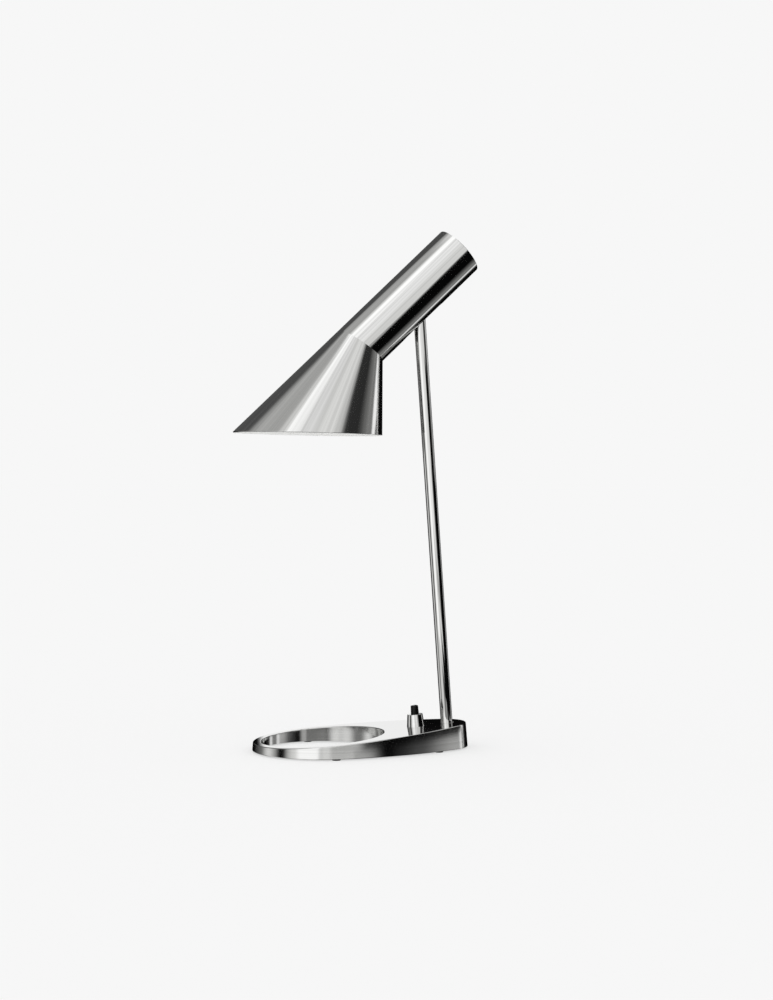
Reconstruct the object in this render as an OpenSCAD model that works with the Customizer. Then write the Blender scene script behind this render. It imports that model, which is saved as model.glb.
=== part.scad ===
// Task table lamp with a wedge base, a leaning stem and a tilting tube-and-cone head.
// Frame: millimetres, +Z up, the table at z = 0, the head pointing towards -X.
// The origin lies on the table, midway between the cone's tip and the tube's far corner.

/* [Base] */
// Distance between the centres of the round front and the round back
base_centres = 89.9; // [82:0.5:105]
// Radius of the round front
base_front_r = 61; // [55:1:66]
// Radius of the round back
base_rear_r = 32; // [29:1:36]
// Radius of the long bulging sides
base_side_r = 227; // [200:1:300]
// Height of the top face above the table at the front tip
base_front_h = 7.5; // [6.5:0.5:9]
// Rise of the top face towards the back, in degrees
base_slope = 4.33; // [3.8:0.1:5]
// Lean of the side walls, in degrees
base_draft = 4.6; // [2:0.2:6]
// How far the hole's centre lies ahead of the round front's centre
hole_ahead = 2.5; // [0:0.5:3.5]
// Width of the ring beside the hole
ring_w = 9.7; // [8.5:0.1:13]
// Thickness of the roof over the wiring chamber
roof_t = 4; // [3:0.5:4.5]
// Thickness of the wall at the back of the wiring chamber
rear_wall_t = 6.5; // [5:0.5:8]
// Thickness of the bridge between the hole and the wiring chamber
bridge_t = 8.2; // [7:0.5:12]
// Half the width of the chamber at its front wall
chamber_half_w = 34; // [32:1:38]
// Thickness of the bottom cover
cover_t = 1.5; // [1:0.25:2]
// Width of the ledge that the bottom cover sits on
cover_ledge = 2; // [1.5:0.25:3]
// Diameter of the cover screws
cover_screw_d = 3; // [2.5:0.5:3.5]
// Diameter of a foot pad
pad_d = 7; // [5:0.5:8]
// Thickness of a foot pad
pad_t = 1; // [0.8:0.1:1.4]

/* [Stem] */
// How far ahead of the base's back the stem's axis meets the table
stem_back = 15.8; // [15:0.25:18]
// Forward lean of the stem, in degrees
stem_lean = 4; // [2:0.25:6]
// Outer diameter of the stem
stem_d = 10; // [9:0.5:11]
// Wall of the stem
stem_wall = 1; // [0.8:0.1:1.2]
// Height of the head's pivot above the table
pivot_h = 384.15; // [350:1:420]

/* [Switch] */
// Place of the switch between the wiring chamber's front wall and the stem
switch_share = 0.422; // [0.4:0.01:0.48]
// Height of the switch collar
collar_h = 10.2; // [9:0.2:12]
// Diameter of the collar where it meets the base
collar_bottom_d = 15; // [14.5:0.5:17]
// Diameter of the collar at its top
collar_top_d = 12.8; // [12.5:0.1:14]
// Diameter of the push button
button_d = 6.8; // [6:0.2:7.2]
// How far the button stands out of the collar
button_out = 7.4; // [5:0.2:9]
// Travel of the button
button_travel = 2.5; // [1.5:0.25:3]

/* [Head] */
// Outer diameter of the head's tube
tube_d = 43.8; // [42:0.2:48]
// Wall of the head's tube and cone
shade_wall = 1; // [0.8:0.1:1.4]
// Angle of the tube above level, as the lamp stands, in degrees
tube_angle = 43.67; // [40:0.5:50]
// Distance along the tube from the bend to the pivot
bend_to_pivot = 72.9; // [70:0.5:76]
// Distance along the tube from the pivot to the open end
pivot_to_end = 49.7; // [45:0.5:60]
// Length of the cone's straight line from the bend to its tip
cone_line = 122.5; // [110:0.5:135]
// Full angle of the cone, in degrees
cone_angle = 45.3; // [42:0.5:47]
// Angle between the tube and the normal of the cone's rim, in degrees
rim_angle = 45; // [43:0.5:47]
// How far the tube's end cap is set back from the open end
end_cap_inset = 5; // [3:0.5:8]

/* [Pivot] */
// Diameter of the pivot pin
pin_d = 5; // [4:0.5:6]
// Width of the knuckle between the bracket's cheeks
knuckle_w = 10; // [9:0.5:11]
// Thickness of each friction washer
friction_t = 1.8; // [1.5:0.1:2]
// Thickness of the bracket's sheet
bracket_t = 2; // [1.5:0.25:2.25]
// How far the head tilts towards the stem from this pose, in degrees
tilt_in = 15; // [5:1:15]
// How far the head tilts away from the stem from this pose, in degrees
tilt_out = 45; // [20:1:50]

/* [Bulb] */
// Gap between the bulb and the shade's upper wall
bulb_gap = 3.4; // [2:0.2:6]
// Length of the bulb's glass in front of its holder
bulb_l = 70; // [60:1:78]
// Diameter of the bulb's screw cap
bulb_cap_d = 13.6; // [13:0.2:13.8]
// Wall of the lampholder round its sleeve
holder_wall = 4.5; // [3.5:0.25:5.5]
// Length of the lampholder's body
holder_l = 32; // [30:1:33]

/* [Hidden] */
$fn = 96;

// Overrun of every cut
cut = 3;
// Gap of a running fit, and of parts that are only put together
run_gap = 0.05;
fit_gap = 0.2;

// Base outline: a front arc, a rear arc and a long side arc that touches both
front_c = base_front_r;
rear_c = front_c + base_centres;
base_l = rear_c + base_rear_r;
hole_x = front_c - hole_ahead;
hole_r = base_front_r - ring_w;
side_cx = (pow(base_side_r - base_front_r, 2) - pow(base_side_r - base_rear_r, 2)
           - front_c * front_c + rear_c * rear_c) / (2 * (rear_c - front_c));
side_cy = -sqrt(pow(base_side_r - base_front_r, 2) - pow(side_cx - front_c, 2));
front_turn = atan2(-side_cy, front_c - side_cx);
rear_turn = atan2(-side_cy, rear_c - side_cx);
base_bottom = pad_t;
base_max_h = base_front_h + base_l * tan(base_slope) - base_bottom;
draft_in = base_max_h * tan(base_draft);
front_steps = 64;
side_steps = 14;
rear_steps = 24;

// Wiring chamber and what stands in it
chamber_x = hole_x + hole_r + bridge_t;
chamber_r = base_rear_r - rear_wall_t;
cover_top = base_bottom + cover_t;
post_d = 7;
post_in = 3;
post_turn = 51;
post_front_share = 0.12;
post_front_in = 5.2;
post_front_x = chamber_x + post_front_share * (rear_c + chamber_r - chamber_x);
post_front_y = chamber_half_at(post_front_x) - post_front_in;
post_rear_x = rear_c + (chamber_r - post_in) * cos(post_turn);
post_rear_y = (chamber_r - post_in) * sin(post_turn);
posts = [[post_front_x, post_front_y], [post_front_x, -post_front_y],
         [post_rear_x, post_rear_y], [post_rear_x, -post_rear_y]];
screw_core_share = 0.84;
screw_sink_share = 0.9;
screw_slot_share = 0.2;
screw_core_d = cover_screw_d * screw_core_share;
screw_head_d = cover_screw_d + 2 * cover_t * screw_sink_share;
screw_slot_w = cover_screw_d * screw_slot_share;
screw_len = 7;

// Feet: two on the ring beside the hole, two under the back
pad_edge = 0.5;
pad_front_x = front_c - pad_d / 2;
pad_front_y = base_front_r - pad_edge - pad_d / 2;
pad_rear_x = rear_c - 2 * pad_edge;
pad_rear_y = chamber_r + cover_ledge + 3 * pad_edge + pad_d / 2;

// Mains lead inlet at the back
inlet_z = 9.5;
inlet_r = 4.5;
inlet_bore_r = 3.2;
inlet_flange_r = 5.8;
inlet_flange_t = 1.5;
inlet_wall_cut = 0.4;
inlet_seat_x = rear_c + chamber_r + inlet_wall_cut;
inlet_out_x = base_l - (inlet_z - base_bottom) * tan(base_draft);

// Stem fixing, measured along the stem from the table
stem_x = base_l - stem_back;
stem_r = stem_d / 2;
stem_top_z = base_front_h + (stem_x - base_front_h * tan(stem_lean)) * tan(base_slope);
boss_r = 8.5;
socket_depth = 5.5;
socket_z = stem_top_z - socket_depth;
web_t = 2.5;
web_z = socket_z - web_t;
nipple_r = stem_r - stem_wall - run_gap;
nipple_wall = 1.2;
nipple_bore_r = nipple_r - nipple_wall;
nipple_up = 22;
nipple_down = 0.4;
washer_t = 1;
washer_r = 7.5;
nut_t = 3;
nut_af = 13;
nipple_z = web_z - washer_t - nut_t - nipple_down;

// Pivot and knuckle
pivot_dist = pivot_h / cos(stem_lean);
pivot_x = stem_x - pivot_h * tan(stem_lean);
knuckle_eye_r = 7.5;
knuckle_drop = 13;
knuckle_block_h = 8;
knuckle_spigot = 12;
knuckle_wire_r = 2.2;
knuckle_wire_z = 10;
stem_end = pivot_dist - knuckle_drop;

// Wires
wire_r = 0.9;
wire_pitch = 2.2;
wire_turn_z = (cover_top + nipple_z) / 2;
wire_bend_r = 1;
wire_sides = 24;

// Switch, measured along its own axis from the base's top face
switch_x = chamber_x + switch_share * (stem_x - chamber_x);
switch_z = base_front_h + switch_x * tan(base_slope);
neck_wall = 0.7;
lip_t = 1.5;
lip_gap = 0.5;
lip_z = collar_h - lip_t;
neck_top = lip_z - lip_gap;
switch_floor_t = 1;
button_r = button_d / 2;
button_tip_share = 0.92;
button_round = 1.1;
button_gap = 0.1;
flange_lip = 0.75;
flange_gap = 0.15;
flange_r = button_r + flange_lip;
flange_t = 1.5;
flange_z = neck_top - flange_t;
spring_short = 2.7;
switch_floor_z = flange_z - button_travel - spring_short;
neck_bore_r = flange_r + flange_gap;
neck_r = neck_bore_r + neck_wall;
plunger_r = 1.9;
plunger_space = 1.1;
plunger_end = -3;
body_r = 8;
switch_washer_t = 0.8;
switch_washer_r = 7.4;
body_top = -roof_t - switch_washer_t;
body_h = 8.2;
body_wall = 1;
spring_gap = 0.5;
spring_r = flange_r - spring_gap;
spring_wire = 0.6;
lug_l = 5;
lug_w = 2.8;
lug_t = 0.8;
lug_pitch = 6;

// Terminal block beside the stem boss
block_ahead = 14;
block_x = stem_x - block_ahead;
block_l = 16;
block_w = 11;
block_h = 8.5;
block_z = cover_top;
block_y = (body_r + chamber_half_at(block_x + block_l / 2)) / 2;
block_screw_r = 1.6;
block_pitch = 8;

// Head, along the tube from the bend: z runs up the tube, +x is its underside
tube_r = tube_d / 2;
tube_inner_r = tube_r - shade_wall;
tube_end = bend_to_pivot + pivot_to_end;
cone_half = cone_angle / 2;
cone_apex_z = tube_r / tan(cone_half);
cone_over_share = 1.25;
cone_len = (cone_apex_z + cone_line) * cone_over_share;
mitre = atan(tan(cone_half) / 2);
mitre_z = tube_r * tan(cone_half) / 2;
slot_side = 0.75;
slot_half = stem_r + slot_side;
slot_clear = 1;
slot_low = -tube_r * tan(skew_at(-tilt_in)) - stem_r / cos(skew_at(-tilt_in)) - slot_clear;
slot_high = -tube_r * tan(skew_at(tilt_out)) + stem_r / cos(skew_at(tilt_out)) + slot_clear;
end_cap_t = 1.2;
vent_r = 2.2;
vent_ring_r = 12;
vent_count = 10;

// Pivot bracket: a channel against the tube's upper side, with two cheeks
cheek_in = knuckle_w / 2 + run_gap + friction_t + run_gap;
cheek_out = cheek_in + bracket_t;
weld_gap = 0.1;
web_x = -sqrt(pow(tube_inner_r - weld_gap, 2) - cheek_out * cheek_out);
web_sheet = 1.5;
cheek_r = 8;
cheek_slope_share = 0.6;
flange_sheet = 1.5;
flange_drop = 9;
bracket_end = bend_to_pivot + cheek_r;
pin_r = pin_d / 2;
pin_head_r = 4.5;
pin_head_t = 3;
spring_washer_t = 0.8;
pivot_nut_t = 4;
pivot_nut_af = 8;
friction_r = 7;

// Lampholder and bulb, along the tube from the bend
holder_to_pivot = 38.9;
holder_top = bend_to_pivot - holder_to_pivot;
holder_z = holder_top - holder_l;
bulb_r = tube_inner_r - bulb_gap;
bulb_cap_r = bulb_cap_d / 2;
bulb_cap_gap = 0.55;
sleeve_wall = 0.6;
sleeve_r = bulb_cap_r + bulb_cap_gap + sleeve_wall;
holder_bore_r = sleeve_r + run_gap;
holder_r = holder_bore_r + holder_wall;
holder_floor_t = 4;
holder_cap_h = 8;
holder_cap_r = 9;
flange_low_z = holder_top + holder_cap_h + fit_gap;
nipple10_r = 5;
nipple10_bore = 3.4;
holder_nut_t = 3;
holder_nut_af = 14;
sleeve_low_gap = 3;
sleeve_high_gap = 2.5;
sleeve_low = holder_z + sleeve_low_gap;
sleeve_high = holder_top - holder_floor_t - sleeve_high_gap;
contact_r = 4;
contact_t = 0.8;
rivet_r = 1.2;
bulb_cap_in = 1.5;
bulb_cap_low = holder_z + bulb_cap_in;
tip_contact_r = 2.4;
tip_contact_l = 3.85;
bulb_cap_l = holder_top - holder_floor_t - 2 * contact_t - run_gap - tip_contact_l - bulb_cap_low;
glass_wall = 0.9;
glass_neck_r = bulb_cap_r - glass_wall / 2 - run_gap;
// Radius of the candle-shaped glass below its neck, and how far down it lies, as shares
candle_r_shares = [0, 0.52, 0.78, 0.95, 1, 0.96, 0.84, 0.66, 0.44, 0.2, 0.03];
candle_z_shares = [0, 0.08, 0.18, 0.3, 0.4, 0.52, 0.65, 0.78, 0.89, 0.97, 1];

// Angle between the stem and the normal of the tube's underside, with the head tilted outwards by tilt
function skew_at(tilt) = tube_angle - stem_lean - tilt;
function hex_r(af) = af / 2 / cos(30);
// Half the width of the wiring chamber at a distance x behind the front tip
function chamber_half_at(x) = x > rear_c
    ? sqrt(pow(chamber_r, 2) - pow(x - rear_c, 2))
    : chamber_half_w + (chamber_r - chamber_half_w) * (x - chamber_x) / (rear_c - chamber_x);
// How far a point of the head lies behind the base's front tip
function head_x(x, z) = pivot_x + x * sin(tube_angle) + (z - bend_to_pivot) * cos(tube_angle);
base_front = (head_x(-tube_r, -cone_line) + head_x(tube_r, tube_end)) / 2;

module at_base() { translate([-base_front, 0, 0]) children(); }
module at_stem() { at_base() translate([stem_x, 0, 0]) rotate([0, -stem_lean, 0]) children(); }
module at_switch() { at_base() translate([switch_x, 0, switch_z]) rotate([0, -base_slope, 0]) children(); }
module at_pivot() { at_base() translate([pivot_x, 0, pivot_h]) children(); }
module at_head() {
    at_pivot() rotate([0, 90 - tube_angle, 0]) translate([0, 0, -bend_to_pivot]) children();
}

// A bar of radius r from point a to point b
module bar(a, b, r) {
    d = b - a;
    translate(a) rotate([0, acos(d[2] / norm(d)), atan2(d[1], d[0])]) cylinder(h = norm(d), r = r, $fn = wire_sides);
}

module tube(h, r_out, r_in) {
    difference() {
        cylinder(h = h, r = r_out);
        translate([0, 0, -cut]) cylinder(h = h + 2 * cut, r = r_in);
    }
}

module hex_nut(af, t, r_in) {
    difference() {
        cylinder(h = t, r = hex_r(af), $fn = 6);
        translate([0, 0, -cut]) cylinder(h = t + 2 * cut, r = r_in);
    }
}

// Points of an arc about c, from angle a0 to a1
function arc(c, r, a0, a1, n) = [for (i = [0:n]) let (a = a0 + (a1 - a0) * i / n) c + r * [cos(a), sin(a)]];

// The base's outline, moved inwards by inset; each arc leaves out its last point, where the next starts
function base_outline(inset) = concat(
    arc([front_c, 0], base_front_r - inset, front_turn, 360 - front_turn, front_steps),
    but_ends(arc([side_cx, -side_cy], base_side_r - inset, -front_turn, -rear_turn, side_steps)),
    arc([rear_c, 0], base_rear_r - inset, -rear_turn, rear_turn, rear_steps),
    but_ends(arc([side_cx, side_cy], base_side_r - inset, rear_turn, front_turn, side_steps)));

function but_ends(list) = [for (i = [1:len(list) - 2]) list[i]];

// The base as a full block whose walls lean in with height
module base_blank() {
    low = base_outline(0);
    high = base_outline(draft_in);
    n = len(low);
    polyhedron(
        points = concat([for (p = low) [p[0], p[1], 0]], [for (p = high) [p[0], p[1], base_max_h]]),
        faces = concat([[for (i = [0:n - 1]) i]], [[for (i = [n - 1:-1:0]) n + i]],
                       [for (i = [0:n - 1]) [i, n + i, n + (i + 1) % n, (i + 1) % n]]));
}

// Everything above a plane that lies a given depth under the sloping top face
module above_top(depth) {
    translate([0, 0, base_front_h - depth / cos(base_slope)]) rotate([0, -base_slope, 0])
        translate([-base_l, -base_l, 0]) cube([3 * base_l, 2 * base_l, base_l]);
}

module chamber_plan(grow) {
    polygon([[chamber_x - grow, -chamber_half_w - grow], [chamber_x - grow, chamber_half_w + grow],
             [rear_c, chamber_r + grow], [rear_c, -chamber_r - grow]]);
}

module chamber_prism(grow, h) {
    linear_extrude(h) chamber_plan(grow);
    translate([rear_c, 0, 0]) cylinder(h = h, r = chamber_r + grow);
}

module chamber_space() {
    difference() {
        translate([0, 0, -cut]) chamber_prism(0, base_max_h);
        above_top(roof_t);
        for (p = posts) translate([p[0], p[1], -2 * cut]) cylinder(h = base_max_h + 3 * cut, r = post_d / 2);
        translate([stem_x, 0, 0]) rotate([0, -stem_lean, 0]) translate([0, 0, web_z])
            cylinder(h = base_max_h, r = boss_r);
    }
}

module base_casting() {
    color([0.74, 0.74, 0.73])
    at_base() difference() {
        translate([0, 0, base_bottom]) base_blank();
        above_top(0);
        translate([hole_x, 0, -cut]) cylinder(h = base_max_h + 3 * cut, r = hole_r, $fn = 180);
        chamber_space();
        // Ledge for the bottom cover
        translate([0, 0, base_bottom - cut]) chamber_prism(cover_ledge, cover_t + cut);
        // Holes in the screw posts
        for (p = posts) translate([p[0], p[1], 0]) cylinder(h = cover_top + screw_len, r = screw_core_d / 2);
        // Stem socket, and the nipple's hole in its web
        translate([stem_x, 0, 0]) rotate([0, -stem_lean, 0]) {
            translate([0, 0, socket_z]) cylinder(h = base_max_h, r = stem_r + run_gap);
            cylinder(h = base_max_h, r = nipple_r + fit_gap);
        }
        // Hole for the switch's neck
        translate([switch_x, 0, switch_z]) rotate([0, -base_slope, 0])
            translate([0, 0, -roof_t - cut]) cylinder(h = roof_t + 2 * cut, r = neck_r + fit_gap);
        // Seat and hole for the inlet bush
        translate([inlet_seat_x - 2 * cut, 0, inlet_z]) rotate([0, 90, 0])
            cylinder(h = 2 * cut, r = inlet_flange_r + fit_gap);
        translate([inlet_seat_x - cut, 0, inlet_z]) rotate([0, 90, 0])
            cylinder(h = rear_wall_t + 3 * cut, r = inlet_r + run_gap);
    }
}

module bottom_cover() {
    color([0.55, 0.55, 0.56])
    at_base() difference() {
        translate([0, 0, base_bottom]) chamber_prism(cover_ledge - fit_gap, cover_t - run_gap);
        for (p = posts) translate([p[0], p[1], base_bottom]) screw_space(fit_gap / 2);
    }
}

module screw_space(gap) {
    translate([0, 0, -cut]) cylinder(h = cut + run_gap, r = screw_head_d / 2 + gap);
    cylinder(h = (screw_head_d - cover_screw_d) / 2, r1 = screw_head_d / 2 + gap, r2 = cover_screw_d / 2 + gap);
    cylinder(h = cover_t + cut, r = cover_screw_d / 2 + gap);
}

module cover_screws() {
    color([0.72, 0.72, 0.72])
    at_base() for (p = posts) translate([p[0], p[1], base_bottom]) difference() {
        union() {
            cylinder(h = (screw_head_d - cover_screw_d) / 2, r1 = screw_head_d / 2, r2 = cover_screw_d / 2);
            cylinder(h = cover_t, r = cover_screw_d / 2);
            cylinder(h = screw_len, r = screw_core_d / 2 - run_gap);
        }
        for (a = [0, 90]) rotate([0, 0, a])
            translate([-screw_head_d / 3, -screw_slot_w / 2, -cut])
                cube([2 * screw_head_d / 3, screw_slot_w, cut + screw_slot_w]);
    }
}

module foot_pad(x, y) {
    color([0.08, 0.08, 0.08]) at_base() translate([x, y, 0]) cylinder(h = pad_t, r = pad_d / 2);
}
module foot_pad_front_near() { foot_pad(pad_front_x, -pad_front_y); }
module foot_pad_front_far() { foot_pad(pad_front_x, pad_front_y); }
module foot_pad_rear_near() { foot_pad(pad_rear_x, -pad_rear_y); }
module foot_pad_rear_far() { foot_pad(pad_rear_x, pad_rear_y); }

module inlet_bush() {
    color([0.1, 0.1, 0.1])
    at_base() translate([inlet_seat_x, 0, inlet_z]) rotate([0, 90, 0]) difference() {
        union() {
            cylinder(h = inlet_out_x - inlet_seat_x, r = inlet_r);
            translate([0, 0, -inlet_flange_t]) cylinder(h = inlet_flange_t, r = inlet_flange_r);
        }
        translate([0, 0, -inlet_flange_t - cut])
            cylinder(h = inlet_out_x - inlet_seat_x + inlet_flange_t + 2 * cut, r = inlet_bore_r);
    }
}

module terminal_block() {
    color([0.9, 0.9, 0.88])
    at_base() translate([block_x, block_y, block_z]) difference() {
        translate([-block_l / 2, -block_w / 2, 0]) cube([block_l, block_w, block_h]);
        for (s = [-1, 1]) translate([s * block_pitch / 2, 0, 0]) {
            translate([0, 0, block_h / 2]) cylinder(h = block_h, r = block_screw_r + fit_gap);
            translate([0, -block_w, block_h / 2 - wire_r]) rotate([-90, 0, 0])
                cylinder(h = 2 * block_w, r = wire_r + fit_gap);
        }
    }
}

module terminal_screws() {
    color([0.8, 0.68, 0.35])
    at_base() for (s = [-1, 1]) translate([block_x + s * block_pitch / 2, block_y, block_z + block_h / 2 + run_gap])
        cylinder(h = block_h / 3, r = block_screw_r);
}

module switch_body() {
    color([0.12, 0.12, 0.12])
    at_switch() difference() {
        union() {
            translate([0, 0, body_top - body_h]) cylinder(h = body_h, r = body_r);
            translate([0, 0, body_top - run_gap]) cylinder(h = neck_top - body_top + run_gap, r = neck_r);
        }
        translate([0, 0, switch_floor_z]) cylinder(h = collar_h, r = neck_bore_r);
        translate([0, 0, body_top - body_h + body_wall])
            cylinder(h = switch_floor_z - switch_floor_t - body_top + body_h - body_wall, r = plunger_r + plunger_space);
        translate([0, 0, body_top]) cylinder(h = switch_floor_z - body_top + cut, r = plunger_r + fit_gap);
    }
}

module switch_washer() {
    color([0.7, 0.7, 0.7])
    at_switch() translate([0, 0, -roof_t - switch_washer_t])
        tube(switch_washer_t, switch_washer_r, neck_r + fit_gap);
}

module switch_collar() {
    color([0.78, 0.78, 0.77])
    at_switch() difference() {
        cylinder(h = collar_h, r1 = collar_bottom_d / 2, r2 = collar_top_d / 2);
        translate([0, 0, -cut]) cylinder(h = cut + lip_z, r = neck_r + run_gap);
        cylinder(h = collar_h + cut, r = button_r + button_gap);
    }
}

module switch_spring() {
    color([0.75, 0.75, 0.75])
    at_switch() translate([0, 0, switch_floor_z])
        tube(flange_z - switch_floor_z, spring_r, spring_r - spring_wire);
}

module switch_terminals() {
    color([0.8, 0.68, 0.35])
    at_switch() for (s = [-1, 1]) {
        root_y = -sqrt(pow(body_r, 2) - pow(lug_pitch / 2 - lug_w / 2, 2));
        translate([s * lug_pitch / 2 - lug_w / 2, root_y - lug_l, body_top - body_h / 2 - lug_t / 2])
            cube([lug_w, lug_l, lug_t]);
    }
}

module switch_button() {
    color([0.05, 0.05, 0.05])
    at_switch() {
        tip = collar_h + button_out;
        tip_r = button_r * button_tip_share;
        rotate_extrude() polygon(concat(
            [[0, plunger_end], [plunger_r, plunger_end], [plunger_r, flange_z],
             [flange_r, flange_z], [flange_r, flange_z + flange_t], [button_r, flange_z + flange_t],
             [button_r, collar_h]],
            [for (a = [0:15:90]) [tip_r - button_round + button_round * cos(a),
                                  tip - button_round + button_round * sin(a)]],
            [[0, tip]]));
    }
}

module stem_tube() {
    color([0.8, 0.8, 0.8])
    at_stem() translate([0, 0, socket_z]) tube(stem_end - socket_z, stem_r, stem_r - stem_wall);
}

module stem_nipple() {
    color([0.72, 0.65, 0.4])
    at_stem() translate([0, 0, nipple_z]) tube(socket_z + nipple_up - nipple_z, nipple_r, nipple_bore_r);
}

module stem_washer() {
    color([0.7, 0.7, 0.7])
    at_stem() translate([0, 0, web_z - washer_t]) tube(washer_t, washer_r, nipple_r + fit_gap);
}

module stem_nut() {
    color([0.7, 0.7, 0.7])
    at_stem() translate([0, 0, web_z - washer_t - nut_t]) hex_nut(nut_af, nut_t, nipple_r + run_gap);
}

module stem_knuckle() {
    color([0.76, 0.76, 0.75])
    at_pivot() rotate([0, -stem_lean, 0]) difference() {
        union() {
            rotate([90, 0, 0]) translate([0, 0, -knuckle_w / 2]) cylinder(h = knuckle_w, r = knuckle_eye_r);
            translate([-stem_r, -knuckle_w / 2, -knuckle_block_h]) cube([stem_d, knuckle_w, knuckle_block_h]);
            translate([0, 0, -knuckle_drop]) cylinder(h = knuckle_drop / 2, r = stem_r);
            translate([0, 0, -knuckle_drop - knuckle_spigot])
                cylinder(h = knuckle_spigot + knuckle_drop / 4, r = nipple_r);
        }
        rotate([90, 0, 0]) translate([0, 0, -knuckle_w]) cylinder(h = 2 * knuckle_w, r = pin_r + run_gap);
        translate([0, 0, -knuckle_drop - knuckle_spigot - cut])
            cylinder(h = knuckle_drop + knuckle_spigot + cut - knuckle_wire_z, r = knuckle_wire_r);
        translate([0, 0, -knuckle_wire_z]) rotate([0, -90, 0]) cylinder(h = stem_d, r = knuckle_wire_r);
    }
}

// Two wires: from the terminal block, across the chamber and up the stem
module stem_lead() {
    color([0.85, 0.85, 0.82])
    for (s = [-1, 1]) {
        low = [stem_x - base_front - wire_turn_z * tan(stem_lean), s * wire_pitch / 2, wire_turn_z];
        top = [pivot_x - base_front + (knuckle_wire_z + knuckle_wire_r) * sin(stem_lean),
               s * wire_pitch / 2, pivot_h - knuckle_wire_z - knuckle_wire_r];
        turn = [block_x - base_front + s * block_pitch / 2, block_y - block_w, block_z + block_h / 2 - wire_r];
        union() {
            bar(low, top, wire_r);
            translate(low) sphere(r = wire_bend_r, $fn = wire_sides);
            bar(low, turn, wire_r);
            translate(turn) sphere(r = wire_bend_r, $fn = wire_sides);
            bar(turn, turn + [0, block_w, 0], wire_r);
        }
    }
}

module tube_half_space() {
    rotate([0, -mitre, 0]) translate([-cut * tube_r, -cut * tube_r, 0])
        cube([2 * cut * tube_r, 2 * cut * tube_r, 2 * tube_end]);
}

module shade_tube() {
    color([0.8, 0.8, 0.79])
    at_head() difference() {
        intersection() {
            translate([0, 0, -tube_r]) tube(tube_end + tube_r, tube_r, tube_inner_r);
            translate([0, 0, mitre_z]) tube_half_space();
        }
        // Slot in the underside for the stem
        translate([0, 0, bend_to_pivot]) {
            translate([0, -slot_half, slot_low + slot_half])
                cube([tube_d, 2 * slot_half, slot_high - slot_low - 2 * slot_half]);
            for (z = [slot_low + slot_half, slot_high - slot_half])
                translate([0, 0, z]) rotate([0, 90, 0]) cylinder(h = tube_d, r = slot_half);
        }
    }
}

// A cone whose straight side carries on the tube's upper side; inset moves its wall inwards
module cone_solid(inset) {
    translate([-tube_r, 0, cone_apex_z]) rotate([0, -cone_half, 0])
        translate([0, 0, -inset / sin(cone_half) - cone_len])
            cylinder(h = cone_len, r1 = cone_len * tan(cone_half), r2 = 0, $fn = 180);
}

module shade_cone() {
    color([0.8, 0.8, 0.79])
    at_head() difference() {
        cone_solid(0);
        cone_solid(shade_wall);
        translate([0, 0, mitre_z]) tube_half_space();
        // Rim
        translate([-tube_r, 0, -cone_line]) rotate([0, -rim_angle, 0])
            translate([-cone_len, -cone_len, -2 * cone_len])
                cube([3 * cone_len, 2 * cone_len, 2 * cone_len]);
    }
}

module tube_end_cap() {
    color([0.1, 0.1, 0.1])
    at_head() translate([0, 0, tube_end - end_cap_inset - end_cap_t]) difference() {
        cylinder(h = end_cap_t, r = tube_inner_r - run_gap);
        for (i = [0:vent_count - 1]) rotate([0, 0, i * 360 / vent_count])
            translate([vent_ring_r, 0, -cut]) cylinder(h = end_cap_t + 2 * cut, r = vent_r);
    }
}

module pivot_bracket() {
    color([0.65, 0.65, 0.66])
    at_head() difference() {
        union() {
            // Web against the tube's upper side, and the flange that carries the lampholder
            translate([web_x, -cheek_out, flange_low_z])
                cube([web_sheet, 2 * cheek_out, bracket_end - flange_low_z]);
            translate([web_x, -cheek_out, flange_low_z])
                cube([flange_drop - web_x, 2 * cheek_out, flange_sheet]);
            for (s = [-1, 1]) translate([0, s * (cheek_in + bracket_t / 2), 0]) cheek();
        }
        translate([0, 0, flange_low_z - cut]) cylinder(h = flange_sheet + 2 * cut, r = nipple10_r + fit_gap);
        translate([0, 0, bend_to_pivot]) rotate([90, 0, 0])
            translate([0, 0, -2 * cheek_out]) cylinder(h = 4 * cheek_out, r = pin_r + run_gap);
    }
}

module cheek() {
    rotate([90, 0, 0]) translate([0, 0, -bracket_t / 2]) {
        linear_extrude(bracket_t) polygon([
            [web_x, flange_low_z], [-pin_head_r, flange_low_z],
            [-pin_head_r, flange_low_z + cheek_r], [cheek_r, bend_to_pivot],
            [cheek_r * cheek_slope_share, bend_to_pivot + cheek_r * cheek_slope_share],
            [0, bracket_end], [web_x, bracket_end]]);
        translate([0, bend_to_pivot, 0]) cylinder(h = bracket_t, r = cheek_r);
    }
}

module pivot_pin() {
    color([0.7, 0.7, 0.7])
    at_pivot() rotate([90, 0, 0]) {
        translate([0, 0, -cheek_out - spring_washer_t - pivot_nut_t - pin_r / 2])
            cylinder(h = 2 * cheek_out + spring_washer_t + pivot_nut_t + pin_r / 2 + pin_head_t / 2, r = pin_r);
        translate([0, 0, cheek_out]) cylinder(h = pin_head_t, r = pin_head_r);
    }
}

module friction_washers() {
    color([0.35, 0.25, 0.2])
    at_pivot() rotate([90, 0, 0]) for (z = [knuckle_w / 2 + run_gap, -knuckle_w / 2 - run_gap - friction_t])
        translate([0, 0, z]) tube(friction_t, friction_r, pin_r + run_gap);
}

module pivot_spring_washer() {
    color([0.6, 0.6, 0.6])
    at_pivot() rotate([90, 0, 0]) translate([0, 0, -cheek_out - spring_washer_t])
        tube(spring_washer_t, pin_head_r, pin_r + run_gap);
}

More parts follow.
